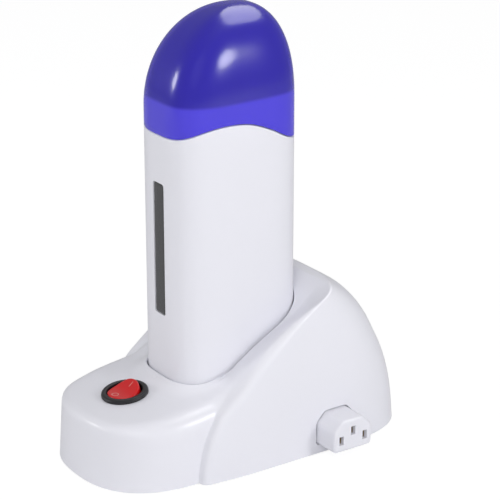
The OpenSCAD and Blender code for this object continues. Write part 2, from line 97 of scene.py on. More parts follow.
def angular(name, text, degrees):
    """An angle, given in degrees."""
    return number(name, text, math.radians(degrees), subtype="ANGLE", unit="ROTATION")


def colour(name, text, default):
    """A linear colour."""
    return bpy.props.FloatVectorProperty(name=name, description=text, default=default, subtype="COLOR",
                                         size=3, min=0, max=1)


class DockSizes(bpy.types.PropertyGroup):
    wall: size("Wall", "Wall of the dock's shell", 2.2)
    slide: size("Room", "Room round the handset at the rim", 0.7)
    lip: size("Lip", "Radius of the rim's inner edge", 0.6)
    boss_top: size("Boss top", "Height of the low rise at the front of the rim", 41.2)
    toe_tip: size("Toe", "How far the toe reaches forward", float(-BASE_LOW[1]))
    shell: colour("Shell", "White of the mouldings", (0.80, 0.80, 0.86))


class HandsetSizes(bpy.types.PropertyGroup):
    half_x: size("Half width", "Half width across X", float(SHELL_HIGH[0]))
    half_y: size("Half depth", "Half width across Y", float(SHELL_HIGH[1] - SHELL_LOW[1]) / 2)
    middle: number("Middle", "Y of the middle plane, in millimetres", float(SHELL_HIGH[1] + SHELL_LOW[1]) / 2)
    squareness: number("Squareness", "2 is an ellipse", 3.5)
    wall: size("Wall", "Wall of the handset's shell", 2.0)
    seam: size("Seam", "Mean height of the wavy joint", 161.0)
    window_corner: size("Window corner", "Radius of the window's corners", 1.6)
    window: colour("Window", "Grey of the level window", (0.36, 0.355, 0.4))


class CapSizes(bpy.types.PropertyGroup):
    wall: size("Wall", "Wall of the cap", 1.6)
    dome: size("Dome", "Height where the dome begins", 172.0)
    apex: number("Apex", "Y of the highest point, in millimetres", 7.4)
    tint: colour("Tint", "Blue of the dome", (0.033, 0.02, 0.5))
    # band: painted light, the paler blue that stands in for the white collar showing through the cap
    band: colour("Band", "Blue of the band over the collar", (0.09, 0.062, 0.9))
    see_through: number("Clear", "Share of light let through", 0.3, min=0, max=1, subtype="FACTOR")


class SwitchSizes(bpy.types.PropertyGroup):
    bezel: size("Bezel", "Radius of the bezel", float(BEZEL_HIGH[0]))
    reach: size("Centre", "How far forward the switch's centre lies", 56.0)
    rise: size("Height", "Height of the deck at the switch's centre", 35.7)
    slope: angular("Slope", "Slope of the deck", 7)
    tilt: angular("Tilt", "Tilt of the rocker", 12)
    rocker: colour("Rocker", "Red of the rocker", (0.6, 0.004, 0.006))


class StudioSizes(bpy.types.PropertyGroup):
    azimuth: angular("Azimuth", "Camera's turn about the object", 55.51)
    elevation: angular("Elevation", "Camera's height over the horizon", 20.48)
    distance: number("Distance", "From the camera to its target", 0.98072, unit="LENGTH")
    lens: number("Lens", "Focal length on a 36 mm sensor", 144.0, unit="CAMERA")


GROUPS = {"wax_dock": DockSizes, "wax_handset": HandsetSizes, "wax_cap": CapSizes,
          "wax_switch": SwitchSizes, "wax_studio": StudioSizes}

# ---------- shader expressions ----------


class Wire:
    """An output socket of a material's node, on which Python's operators add Math nodes."""

    def __init__(self, tree, socket):
        self.tree = tree
        self.socket = socket

    def node(self, kind, settings=None, inputs=None, out=0):
        """The chosen output of a new node: settings are set first, then values or links of its inputs."""
        made = self.tree.nodes.new(kind)
        for key, value in (settings or {}).items():
            setattr(made, key, value)
        for key, value in (inputs or {}).items():
            if isinstance(value, Wire):
                self.tree.links.new(value.socket, made.inputs[key])
            else:
                made.inputs[key].default_value = value
        return Wire(self.tree, made.outputs[out])

    def math(self, operation, *values):
        return self.node("ShaderNodeMath", {"operation": operation}, dict(enumerate(values)))

    def __add__(self, other):
        return self.math("ADD", self, other)

    def __radd__(self, other):
        return self.math("ADD", other, self)

    def __sub__(self, other):
        return self.math("SUBTRACT", self, other)

    def __rsub__(self, other):
        return self.math("SUBTRACT", other, self)

    def __mul__(self, other):
        return self.math("MULTIPLY", self, other)

    def __rmul__(self, other):
        return self.math("MULTIPLY", other, self)

    def mix(self, low, high):
        """The colour low where this is 0, and high where it is 1."""
        return self.node("ShaderNodeMix", {"data_type": "RGBA"}, {"Factor": self, "A": low, "B": high}, out=2)

    def ramp(self, low, high, to_low=0.0, to_high=1.0):
        """This, carried smoothly from low..high to to_low..to_high."""
        return self.node("ShaderNodeMapRange", {"interpolation_type": "SMOOTHSTEP"},
                         {"Value": self, "From Min": low, "From Max": high,
                          "To Min": to_low, "To Max": to_high})


def new_material(name):
    """A material and the wire of its Object coordinates."""
    material = bpy.data.materials.new(name)
    material.use_nodes = True
    tree = material.node_tree
    tree.nodes.clear()
    place = Wire(tree, tree.nodes.new("ShaderNodeTexCoord").outputs["Object"])
    return material, place


def finish_material(material, shader):
    """Links the shader to the material's output."""
    output = material.node_tree.nodes.new("ShaderNodeOutputMaterial")
    material.node_tree.links.new(shader.socket, output.inputs["Surface"])
    return material


def grain(place, scale, detail=3.0, stretch=(1, 1, 1)):
    """Noise of about 0.5, at scale lumps a metre."""
    turned = place.node("ShaderNodeMapping", None, {"Vector": place, "Scale": stretch})
    return place.node("ShaderNodeTexNoise", None, {"Vector": turned, "Scale": scale, "Detail": detail})


def bump(place, height, strength, distance):
    """A normal from a height, with the distance in metres."""
    return place.node("ShaderNodeBump", None, {"Height": height, "Strength": strength, "Distance": distance})


def rgba(shade, gain=1.0):
    return tuple(min(1.0, c * gain) for c in shade) + (1.0,)


def moulded_plastic(name, shade, rough=0.34, coat=0.12, texture=0.006, vary=0.006):
    """Injection-moulded plastic: slow flow marks in the colour, fine orange peel, uneven gloss."""
    material, place = new_material(name)
    flow = grain(place, 14, 1.0, (1, 1, 0.4))
    peel = grain(place, 900, 2.0)
    skin = grain(place, 30, 1.5)
    tone = flow.ramp(0.3, 0.7).mix(rgba(shade, 1 - vary), rgba(shade, 1 + vary))
    shader = place.node("ShaderNodeBsdfPrincipled", None, {
        "Base Color": tone, "Roughness": skin * 0.05 + (rough - 0.025), "Coat Weight": coat,
        "Coat Roughness": 0.16, "IOR": 1.5, "Normal": bump(place, peel, texture, 0.0002)})
    return finish_material(material, shader)


def drawn_metal(name, shade, rough=0.3):
    """Drawn or stamped metal with faint lines along Z."""
    material, place = new_material(name)
    lines = grain(place, 500, 4.0, (1, 1, 0.05))
    tone = lines.ramp(0.3, 0.7).mix(rgba(shade, 0.85), rgba(shade, 1.05))
    shader = place.node("ShaderNodeBsdfPrincipled", None, {
        "Base Color": tone, "Metallic": 1.0, "Roughness": lines * 0.25 + (rough - 0.1),
        "Normal": bump(place, lines, 0.1, 0.0001)})
    return finish_material(material, shader)


def rubber_skin(name, shade):
    """Dull moulded rubber with a fine stipple."""
    material, place = new_material(name)
    stipple = grain(place, 1500, 2.0)
    tone = stipple.ramp(0.3, 0.7).mix(rgba(shade, 0.7), rgba(shade, 1.4))
    shader = place.node("ShaderNodeBsdfPrincipled", None, {
        "Base Color": tone, "Roughness": 0.8 - stipple * 0.15, "Normal": bump(place, stipple, 0.4, 0.0002)})
    return finish_material(material, shader)


def cap_plastic(name, cap):
    """Clear tinted plastic under a glossy skin, its band round the white collar paler: painted light from the
    collar.
    """
    material, place = new_material(name)
    ripple = grain(place, 30, 1.5)
    height = place.node("ShaderNodeSeparateXYZ", None, {"Vector": place}, out=2)
    # Painted light: below the collar's top the colour turns to the band's paler blue, for the collar glowing
    # through
    dome = (height + ripple * 0.0016).ramp((COLLAR_HIGH[2] - 0.4) * MM, (COLLAR_HIGH[2] + 2) * MM)
    tone = dome.mix(rgba(cap.band), rgba(cap.tint))
    skin = place.node("ShaderNodeBsdfPrincipled", None, {
        "Base Color": tone, "Roughness": 0.24, "IOR": 1.5, "Coat Weight": 0.5, "Coat Roughness": 0.1,
        "Normal": bump(place, ripple, 0.03, 0.0008)})
    clear = place.node("ShaderNodeBsdfTransparent", None, {"Color": rgba([c ** 0.3 for c in cap.tint])})
    both = place.node("ShaderNodeMixShader", None, {"Fac": cap.see_through, 1: skin, 2: clear})
    return finish_material(material, both)


def window_plastic(name, shade):
    """Smoky level window with upright streaks, and painted shade that darkens its lower end, which the floor
    lights most.
    """
    material, place = new_material(name)
    streaks = grain(place, 420, 4.0, (1, 1, 0.03))
    blotches = grain(place, 70, 3.0, (1, 1, 0.6))
    height = place.node("ShaderNodeSeparateXYZ", None, {"Vector": place}, out=2)
    # Painted shade: the colour darkens towards the lower end to offset the light that the floor throws there
    low = height.ramp(LENS_LOW[2] * MM, (LENS_LOW[2] + 30) * MM, -0.1, 0.0)
    tone = (streaks * 0.6 + blotches * 0.4 + low).ramp(0.3, 0.85).mix(rgba(shade, 0.6), rgba(shade, 1.5))
    # Painted shadow: a near-black border round the pane's face stands in for the shade in the gap between pane
    # and shell
    across = place.node("ShaderNodeSeparateXYZ", None, {"Vector": place}, out=0).math("ABSOLUTE")
    middle, half = (LENS_LOW[2] + LENS_HIGH[2]) / 2, (LENS_HIGH[2] - LENS_LOW[2]) / 2 - 2
    up = (height - middle * MM).math("ABSOLUTE")
    rim = up.math("MAXIMUM", across - LENS_FACE_HALF * MM, up - half * MM)
    tone = rim.ramp(-0.0007, -0.0004).mix(tone, (0.012, 0.012, 0.014, 1))
    shader = place.node("ShaderNodeBsdfPrincipled", None, {
        "Base Color": tone, "Roughness": streaks * 0.2 + 0.15, "Coat Weight": 0.5, "Coat Roughness": 0.05,
        "Normal": bump(place, streaks, 0.15, 0.0002)})
    return finish_material(material, shader)


def make_materials(scene):
    """One material for each of the record's slots, by slot name, and one for the rocker's marks."""
    duller = [0.9 * c for c in scene.wax_dock.shell]
    return {
        "white_shell": moulded_plastic("white_abs", scene.wax_dock.shell),
        "inner_plastic": moulded_plastic("inner_abs", duller, rough=0.45, coat=0),
        "rubber": rubber_skin("foot_rubber", (0.03, 0.03, 0.033)),
        "steel": drawn_metal("screw_steel", (0.56, 0.57, 0.58)),
        "black_plastic": moulded_plastic("black_nylon", (0.01, 0.01, 0.012), rough=0.42, coat=0, texture=0.03,
                                         vary=0.15),
        "brass": drawn_metal("contact_brass", (0.75, 0.55, 0.25)),
        "rocker_red": moulded_plastic("rocker_abs", scene.wax_switch.rocker, rough=0.3, coat=0.1, vary=0.05),
        "wire_sleeve": moulded_plastic("wire_sleeve", (0.16, 0.09, 0.06), rough=0.45, coat=0, vary=0.1),
        "window_grey": window_plastic("window_smoke", scene.wax_handset.window),
        "aluminium": drawn_metal("plate_aluminium", (0.75, 0.76, 0.78), rough=0.35),
        "heater_film": moulded_plastic("heater_film", (0.35, 0.27, 0.16), rough=0.4, coat=0.2, vary=0.1),
        "mark": moulded_plastic("mark_paint", (0.66, 0.22, 0.2), rough=0.4, coat=0),
        "cap_blue": cap_plastic("cap_violet", scene.wax_cap),
    }


MATERIALS = {}

# ---------- surfaces ----------


def grid_mesh(name, points, close_across=False):
    """A mesh over a grid of points of shape (around, across, 3) in millimetres, closed around.

    Each cell (i, j) is the quad of the points (i, j), (i+1, j), (i+1, j+1), (i, j+1), with i taken round
    the ring. With close_across, j is taken round too, so the surface is a closed tube.
    """
    around, across = points.shape[:2]
    i = np.arange(around)[:, None]
    j = np.arange(across if close_across else across - 1)[None, :]
    here, there = i * across, ((i + 1) % around) * across
    after = (j + 1) % across
    quads = np.stack([here + j, there + j, there + after, here + after], axis=-1).reshape(-1, 4)
    return mesh_object(name, points.reshape(-1, 3), quads)


def mesh_object(name, points, faces):
    """A smooth-shaded object at the origin from points in millimetres and faces of equal length."""
    mesh = bpy.data.meshes.new(name)
    corners = faces.shape[1]
    mesh.vertices.add(len(points))
    mesh.vertices.foreach_set("co", (np.asarray(points, float) * MM).astype(np.float32).ravel())
    mesh.loops.add(faces.size)
    mesh.loops.foreach_set("vertex_index", faces.astype(np.int32).ravel())
    mesh.polygons.add(len(faces))
    mesh.polygons.foreach_set("loop_start", np.arange(0, faces.size, corners, dtype=np.int32))
    mesh.update(calc_edges=True)
    mesh.validate()
    mesh.shade_smooth()
    made = bpy.data.objects.new(name, mesh)
    bpy.context.scene.collection.objects.link(made)
    return made


MERGE = 0.002           # points nearer than this are one


def cleaned(piece, sharp=35):
    """Merges a piece's doubled points and marks its edges sharper than sharp degrees."""
    work = bmesh.new()
    work.from_mesh(piece.data)
    bmesh.ops.remove_doubles(work, verts=work.verts, dist=MERGE * MM)
    bmesh.ops.recalc_face_normals(work, faces=work.faces)
    work.to_mesh(piece.data)
    work.free()
    piece.data.shade_smooth()
    piece.data.set_sharp_from_angle(angle=math.radians(sharp))
    return piece


def applied(piece):
    """The piece with its modifiers made part of its mesh."""
    bpy.context.view_layer.update()
    mesh = bpy.data.meshes.new_from_object(piece.evaluated_get(bpy.context.evaluated_depsgraph_get()))
    piece.modifiers.clear()
    piece.data = mesh
    return piece


def thicken(piece, wall):
    """Gives an open surface a wall in millimetres on its inner side."""
    shell = piece.modifiers.new("wall", "SOLIDIFY")
    shell.thickness = wall * MM
    shell.offset = -1
    shell.use_rim = True
    return applied(piece)


def cut(piece, *cutters):
    """Cuts closed solids out of a piece and removes them."""
    for cutter in cutters:
        hole = piece.modifiers.new("hole", "BOOLEAN")
        hole.operation = "DIFFERENCE"
        hole.solver = "EXACT"
        hole.object = cutter
    applied(piece)
    for cutter in cutters:
        bpy.data.objects.remove(cutter)
    return piece


def prism(name, outline, start, end, to_space):
    """A closed straight prism over a counter-clockwise outline, placed by to_space(x, y, z) -> points."""
    count = len(outline)
    x, y = np.tile(outline[:, 0], 2), np.tile(outline[:, 1], 2)
    z = np.repeat([start, end], count)
    work = bmesh.new()
    verts = [work.verts.new(Vector(p) * MM) for p in to_space(x, y, z)]
    work.faces.new(verts[:count][::-1])
    work.faces.new(verts[count:])
    for k in range(count):
        after = (k + 1) % count
        work.faces.new((verts[k], verts[after], verts[count + after], verts[count + k]))
    bmesh.ops.recalc_face_normals(work, faces=work.faces)
    mesh = bpy.data.meshes.new(name)
    work.to_mesh(mesh)
    work.free()
    made = bpy.data.objects.new(name, mesh)
    bpy.context.scene.collection.objects.link(made)
    return made


def dress(piece, body, slot, *nodes):
    """Gives a new piece its finish, its body, its slot and the nodes that it stands for."""
    piece.data.materials.clear()
    piece.data.materials.append(MATERIALS[slot])
    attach(piece, body)
    if nodes:
        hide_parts(*nodes)
    return piece


# ---------- curves ----------


def smooth_rows(rows, x):
    """The cubic through rows of (x, y), with the slope between its neighbours at each, flat past the ends."""
    table = np.asarray(rows, float)
    xs, ys = table[:, 0], table[:, 1]
    slopes = np.gradient(ys, xs)
    x = np.clip(x, xs[0], xs[-1])
    k = np.clip(np.searchsorted(xs, x) - 1, 0, len(xs) - 2)
    step = xs[k + 1] - xs[k]
    u = (x - xs[k]) / step
    return ((2 * u ** 3 - 3 * u ** 2 + 1) * ys[k] + (u ** 3 - 2 * u ** 2 + u) * step * slopes[k]
            + (3 * u ** 2 - 2 * u ** 3) * ys[k + 1] + (u ** 3 - u ** 2) * step * slopes[k + 1])


def smooth_step(x, low, high):
    """0 below low, 1 above high, and 3t^2 - 2t^3 between."""
    t = np.clip((x - low) / (high - low), 0, 1)
    return t * t * (3 - 2 * t)


def blend_max(a, b, reach):
    """The larger of a and b, raised by (reach - |a-b|)^2 / 4 reach where they are nearer than reach."""
    near = np.maximum(reach - np.abs(a - b), 0)
    return np.maximum(a, b) + near * near / (4 * reach)


def blend_min(a, b, reach):
    """The smaller of a and b, lowered as blend_max raises."""
    return -blend_max(-a, -b, reach)


def oval_distance(x, y, half_x, half_y, squareness):
    """Distance out of |x/a|^n + |y/b|^n = 1, measured along the ray from its middle."""
    share = (np.abs(x / half_x) ** squareness + np.abs(y / half_y) ** squareness) ** (1 / squareness)
    return np.hypot(x, y) * (1 - 1 / np.maximum(share, 1e-6))


def oval_ring(half_x, half_y, squareness, count, middle=0.0, room=0.0, share=None):
    """Points of |x/a|^n + |y/b|^n = 1 at even steps of arc from its -Y end, moved outward by room.

    share gives other places along the ring, from 0 to 1, counter-clockwise seen from above.
    """
    turn = np.linspace(-math.pi / 2, 1.5 * math.pi, 4001)
    x = half_x * np.sign(np.cos(turn)) * np.abs(np.cos(turn)) ** (2 / squareness)
    y = half_y * np.sign(np.sin(turn)) * np.abs(np.sin(turn)) ** (2 / squareness)
    slope_x = np.sign(x) * np.abs(x / half_x) ** (squareness - 1) / half_x
    slope_y = np.sign(y) * np.abs(y / half_y) ** (squareness - 1) / half_y
    steep = np.hypot(slope_x, slope_y)
    x = x + room * slope_x / steep
    y = y + room * slope_y / steep
    length = np.concatenate([[0], np.cumsum(np.hypot(np.diff(x), np.diff(y)))])
    if share is None:
        share = np.arange(count) / count
    at = share * length[-1]
    return np.stack([np.interp(at, length, x), np.interp(at, length, y) + middle], axis=-1)


def ring_tube(name, rings):
    """A closed tube through a list of rings of equal count, each an array of points (count, 3)."""
    return grid_mesh(name, np.stack(rings, axis=1), close_across=True)


def ring_at(flat, height):
    """A flat ring of (x, y) lifted to a height, one number or one for each point."""
    return np.column_stack([flat, np.broadcast_to(height, len(flat))])


# ---------- the dock ----------

# Height of the deck and the saddle along the middle, as (y, z), rising to the ridge
DECK_LINE = [(-90, 31.5), (-72, 33.7), (-56, 35.7), (-42.5, 37.35), (-33, 38.6), (-26, 39.5), (-19.5, 40.8),
             (-15.7, 42.8), (-12.4, 45.3), (-9, 48.1), (-5.5, 50.4), (-2, 52.6), (1.5, 54.7), (5.1, 56.5),
             (12.3, 59.9), (20.1, 63.3), (24.7, 65.8), (28.4, 68.6), (34, 73.3), (42.5, 80.5)]
# The cheek's front and upper edge, as (y, z), from the floor to the ridge
CHEEK_LINE = [(-41, 0), (-40.4, 7), (-38.8, 14.5), (-35.5, 24), (-29.5, 33), (-23, 38.8), (-16.5, 44.3),
              (-10.5, 50.2), (-3, 57), (5, 63), (14, 68.3), (24, 73.3), (33, 77), (42.5, 80.5)]
# Half width of the hump and reach of its back, over the height
HUMP_HALF = [(0, 48), (20, 47.5), (40, 46), (60, 43.2), (74, 40.6), (80.5, 38.8), (90, 36)]
HUMP_BACK = [(0, 88), (7.2, 87.4), (16.4, 86.3), (30.5, 83.3), (40.1, 79.9), (50, 75.1), (59.9, 69.8),
             (70.4, 61.5), (75.8, 55.6), (80.5, 48), (86, 38)]
RIDGE_Y = 42.5
NOSE_Y = -39.3          # where the toe's nose begins
TOE_HALF = 42.0
TOE_DRAFT = (0.035, 0.07)   # how much the toe narrows, and how much it shortens, for each mm of height
TOE_SQUARE, HUMP_SQUARE = 2.5, 3.5      # squareness of their outlines: 2 is an ellipse
DECK_CROWN = 0.0009     # how fast the deck falls away from the middle
CHEEK_LEAN = 0.8        # share of the drop from cheek to saddle that the slanting roof takes
BOSS_ROOM = 1.8         # width of the low rise round the handset at its top
TAIL_Y = 20.0           # where the hump's back begins to round
CHEEK_INNER = 25.5      # where the ramp beside the handset starts, across X
CHEEK_OUTER = 40.0      # where it reaches the cheek's edge


def deck_height(x, y):
    """Height of the deck: its middle line, less the crown times x^2."""
    return smooth_rows(DECK_LINE, y) - DECK_CROWN * x * x


def cheek_roof(x, y, z):
    """Distance above the hump's roof.

    In the plane of y and z the cheek's edge is a curve r(angle) about the foot of the ridge, and the
    distance is the radius less r. Between the cheeks it is lowered by the drop from cheek to saddle.
    """
    edge = np.asarray(CHEEK_LINE, float)
    angle = np.arctan2(edge[:, 1], RIDGE_Y - edge[:, 0])
    radius = np.hypot(edge[:, 1], RIDGE_Y - edge[:, 0])
    here = np.arctan2(z, RIDGE_Y - y)
    reach = smooth_rows(np.column_stack([angle, radius]), here)
    reach = np.where(y > RIDGE_Y, edge[-1, 1] / np.maximum(np.sin(here), 0.2), reach)
    drop = np.maximum(smooth_rows(CHEEK_LINE, y) - smooth_rows(DECK_LINE, y), 0) * (y < RIDGE_Y)
    share = np.clip((np.abs(x) - CHEEK_INNER) / (CHEEK_OUTER - CHEEK_INNER), 0, 1)
    ramp = 0.5 * share + 0.5 * smooth_step(share, 0, 1)
    return np.hypot(z, RIDGE_Y - y) - reach + drop * (1 - ramp) * CHEEK_LEAN


def dock_distance(x, y, z, dock, hand):
    """Signed distance, about in mm, from the dock's outer surface: negative inside.

    It is the union of the toe (a nose-shaped wall under the deck), the hump (an oval wall under the
    cheeks' roof) and the boss round the handset's front, each edge blended to the radius it has.
    """
    toe_wall = oval_distance(x, np.minimum(y - NOSE_Y, 0), TOE_HALF - TOE_DRAFT[0] * z,
                             dock.toe_tip + NOSE_Y - TOE_DRAFT[1] * z, TOE_SQUARE)
    toe_edge = 9.5 - 5 * smooth_step(-y, 56, 76)
    sink = 5 * smooth_step(y, -20, -6)
    toe = np.maximum(blend_max(toe_wall, (z - deck_height(x, y) + sink) * 0.98, toe_edge), y - 20)
    half = smooth_rows(HUMP_HALF, z) - 1.6 * smooth_step(-y, 15, 41)
    back = smooth_rows(HUMP_BACK, z) - TAIL_Y
    hump_wall = oval_distance(x, np.maximum(y - TAIL_Y, 0), half, back, HUMP_SQUARE)
    hump_edge = 4.5 - 3.5 * smooth_step(y, 2, 34)
    hump = blend_max(hump_wall, cheek_roof(x, y, z), hump_edge)
    body = blend_min(toe, hump, 0.7 + 5.5 * (1 - smooth_step(np.abs(x), 33, 40.5)))
    from_hand = oval_distance(x, y - hand.middle, hand.half_x, hand.half_y, hand.squareness)
    boss_wall = from_hand - BOSS_ROOM - 0.9 * np.minimum(dock.boss_top - z, 4)
    boss = blend_max(boss_wall * 0.7, z - dock.boss_top, 1.0)
    return blend_min(body, boss, 4.0)


def cheek_shift(z):
    """How far the cheek's front edge lies behind its foot at a height, held past 48 mm."""
    edge = np.asarray(CHEEK_LINE, float)
    return np.interp(np.clip(z, 0, 48), edge[:, 1], edge[:, 0]) - edge[0, 0]


class DockRays:
    """Rays of one half of the dock, from under the rim out to its surface.

    A ray lies in an upright sheet from a rim point to a floor point, at an angle from straight up (at the
    rim) to level (at the floor). The sheets lean with the cheek's front edge, so that one follows it.
    """

    FLOOR_HALF = (47.0, 86.2)
    FLOOR_MIDDLE = 1.7
    STEP_Y = -41.0          # foot of the cheek's front edge
    RIM_STEP_Y = -17.5      # the rim point on the same sheet
    LEAN_REACH = 28.0       # how far along the floor the lean dies away

    def __init__(self, dock, hand, count):
        self.dock, self.hand = dock, hand
        floor = oval_ring(*self.FLOOR_HALF, 3.0, 0, self.FLOOR_MIDDLE, share=np.linspace(0, 0.5, 4001))
        run = np.concatenate([[0], np.cumsum(np.hypot(*np.diff(floor, axis=0).T))])
        foot = np.interp(self.STEP_Y, floor[:, 1], run)
        dense = 1 + 3.5 * np.exp(-((run - foot) / 4) ** 2)
        crowd = np.concatenate([[0], np.cumsum((dense[1:] + dense[:-1]) / 2 * np.diff(run))])
        along = np.interp(np.linspace(0, crowd[-1], count), crowd, run)
        self.floor = np.stack([np.interp(along, run, floor[:, k]) for k in (0, 1)], axis=-1)
        self.floor[[0, -1], 0] = 0
        rim_room = dock.slide + dock.lip
        half_ring = np.linspace(0, 0.5, 4001)
        rim = oval_ring(hand.half_x, hand.half_y, hand.squareness, 0, hand.middle, rim_room, half_ring)
        rim_foot = np.interp(self.RIM_STEP_Y, rim[:, 1], half_ring)
        self.share = np.interp(along / run[-1], [0, foot / run[-1], 1], [0, rim_foot, 0.5])
        self.rim = np.stack([np.interp(self.share, half_ring, rim[:, k]) for k in (0, 1)], axis=-1)
        self.rim[[0, -1], 0] = 0
        self.lean = np.exp(-((along - foot) / self.LEAN_REACH) ** 2)
        start_z = np.maximum(dock.boss_top, smooth_rows(DECK_LINE, self.rim[:, 1]))
        self.start = self.rim - np.stack([0 * self.lean, self.lean * cheek_shift(start_z)], axis=-1)
        reach = self.floor - self.start
        self.way = reach / np.linalg.norm(reach, axis=1)[:, None]

    def point(self, angle, reach):
        """The point at a reach along the rays of an angle, both (rays, angles): origin + reach x direction."""
        level = reach * np.cos(angle)
        z = BASE_LOW[2] + reach * np.sin(angle)
        x = self.start[:, :1] + level * self.way[:, :1]
        y = self.start[:, 1:] + level * self.way[:, 1:] + self.lean[:, None] * cheek_shift(z)
        return x, y, z

    def surface(self, angle):
        """Points where the rays leave the dock, found by halving the reach 26 times."""
        low, high = np.full(angle.shape, 1.0), np.full(angle.shape, 140.0)
        for _ in range(26):
            middle = (low + high) / 2
            inside = dock_distance(*self.point(angle, middle), self.dock, self.hand) < 0
            low, high = np.where(inside, middle, low), np.where(inside, high, middle)
        return np.stack(self.point(angle, (low + high) / 2), axis=-1)


def dock_points(dock, hand, rays, steps):
    """The dock's outer surface over (around, across), from the rim's lip to the floor.

    A first fan of rays measures each profile. The second spaces its rays by length plus 4 mm for each
    radian that the profile turns, so that edges get more of them.
    """
    half = DockRays(dock, hand, rays)
    fan = np.linspace(0, 1, 260)
    angle = np.tile(math.pi / 2 * (1 - fan ** 1.5), (rays, 1))
    rough = half.surface(angle)
    step = np.diff(rough, axis=1)
    length = np.linalg.norm(step, axis=2)
    heading = step / np.maximum(length, 1e-9)[:, :, None]
    turn = np.arccos(np.clip((heading[:, 1:] * heading[:, :-1]).sum(axis=2), -1, 1))
    weight = length + 0.05
    weight[:, 1:] += 4 * turn
    blur = np.ones(7) / 7
    weight = np.apply_along_axis(np.convolve, 0, np.pad(weight, ((3, 3), (0, 0)), "edge"), blur, "valid")
    total = np.concatenate([np.zeros((rays, 1)), np.cumsum(weight, axis=1)], axis=1)
    total /= total[:, -1:] * 1.000001
    row = np.arange(rays)[:, None]
    wanted = np.linspace(0, 1, steps) * 0.999999 + row
    angle = np.interp(wanted, (total + row).ravel(), angle.ravel())
    angle[:, 0], angle[:, -1] = math.pi / 2, 0
    skin = half.surface(angle)
    top = skin[:, 0, 2]
    lip = []
    for swing in np.radians([0, 22.5, 45, 67.5]):
        room = dock.slide + dock.lip * (1 - math.cos(swing))
        flat = oval_ring(hand.half_x, hand.half_y, hand.squareness, 0, hand.middle, room, half.share)
        flat[[0, -1], 0] = 0
        lip.append(np.column_stack([flat, top - dock.lip * (1 - math.sin(swing))]))
    deep = lip[0] - [0, 0, 1.6]
    right = np.concatenate([np.stack([deep, *lip], axis=1), skin], axis=1)
    left = right[-2:0:-1] * [-1, 1, 1]
    return np.concatenate([right, left])


def rim_height(flat, dock, hand):
    """Height of the dock's surface straight above points (x, y), found by halving."""
    low, high = np.full(len(flat), 20.0), np.full(len(flat), 95.0)
    for _ in range(24):
        middle = (low + high) / 2
        inside = dock_distance(flat[:, 0], flat[:, 1], middle, dock, hand) < 0
        low, high = np.where(inside, middle, low), np.where(inside, high, middle)
    return (low + high) / 2


PLUG_FACE = [(-11.25, -8), (11.25, -8), (11.25, 3), (6.25, 8), (-6.25, 8), (-11.25, 3)]


def grown(outline, room):
    """A convex counter-clockwise outline moved out by room: each corner moves along its mitre."""
    points = np.asarray(outline, float)
    before = points - np.roll(points, 1, axis=0)
    normal = np.stack([before[:, 1], -before[:, 0]], axis=-1)
    normal /= np.linalg.norm(normal, axis=1)[:, None]
    after = np.roll(normal, -1, axis=0)
    mitre = normal + after
    return points + room * mitre / ((mitre * mitre).sum(axis=1) / 2)[:, None]


def outlet_space(x, y, z):
    """From an outlet's own axes (pole pair, towards earth, out of its face) to the object's."""
    middle = (OUTLET_LOW + OUTLET_HIGH) / 2
    return np.column_stack([z, middle[1] + x, PORT_Z + y])


PORT_Z = float(OUTLET_LOW[2]) + 9.8    # the outlet's flange reaches 9.8 mm below its middle


def switch_space(x, y, z, switch, tilt=0.0):
    """From the switch's own axes (z out of the deck) to the object's, after a tilt about the rocker's pin."""
    lean_y = y * math.cos(tilt) - (z - PIN_Z) * math.sin(tilt)
    lean_z = y * math.sin(tilt) + (z - PIN_Z) * math.cos(tilt) + PIN_Z
    slope = switch.slope
    return np.column_stack([x, -switch.reach + lean_y * math.cos(slope) - lean_z * math.sin(slope),
                            switch.rise + lean_y * math.sin(slope) + lean_z * math.cos(slope)])


PIN_Z = -0.8            # the rocker's pin, below the deck
SEAT_R = 9.9            # radius of the switch's body
CAVITY_R = 8.8          # radius of the well in the bezel
ROCKER_R = 7.9


def lathe(name, profile, around, to_space):
    """A closed solid turned about z from a closed profile of (r, z), placed by to_space(x, y, z) -> points."""
    turn = np.arange(around)[:, None] * 2 * math.pi / around
    r, z = np.asarray(profile, float).T
    x, y = r * np.cos(turn), r * np.sin(turn)
    points = to_space(x.ravel(), y.ravel(), np.tile(z, around))
    return grid_mesh(name, points.reshape(around, -1, 3), close_across=True)


def rounded(profile, radius, steps=5):
    """A closed polygon whose corners are arcs: each swings between points a radius before and after it.

    radius is one number, or one for each corner. The arc is the quadratic curve
    (1-t)^2 before + 2t(1-t) corner + t^2 after.
    """
    points = np.asarray(profile, float)
    radius = np.broadcast_to(radius, len(points))[:, None]
    back, ahead = np.roll(points, 1, axis=0) - points, np.roll(points, -1, axis=0) - points
    back_len = np.linalg.norm(back, axis=1)[:, None]
    ahead_len = np.linalg.norm(ahead, axis=1)[:, None]
    before = points + back / back_len * np.minimum(radius, back_len * 0.48)
    after = points + ahead / ahead_len * np.minimum(radius, ahead_len * 0.48)
    t = np.linspace(0, 1, steps)[None, :, None]
    arcs = (1 - t) ** 2 * before[:, None] + 2 * t * (1 - t) * points[:, None] + t ** 2 * after[:, None]
    return arcs.reshape(-1, points.shape[1])


def joined(pieces):
    """The first piece with the others' meshes added to it."""
    work = bmesh.new()
    for piece in pieces:
        work.from_mesh(piece.data)
    work.to_mesh(pieces[0].data)
    work.free()
    for piece in pieces[1:]:
        bpy.data.objects.remove(piece)
    return pieces[0]


SCREW_HOLE_R = 1.4
AXIS_R = 0.02           # radius of the ring that stands for a solid's axis


def screw_post(at, radius, foot, head):
    """A round post at (x, y) with a screw's hole along it, from one height to another."""
    profile = [(SCREW_HOLE_R, foot), (radius, foot), (radius, head), (SCREW_HOLE_R, head)]
    return cleaned(lathe("post", profile, 40, lambda x, y, z: np.column_stack([x + at[0], y + at[1], z])))


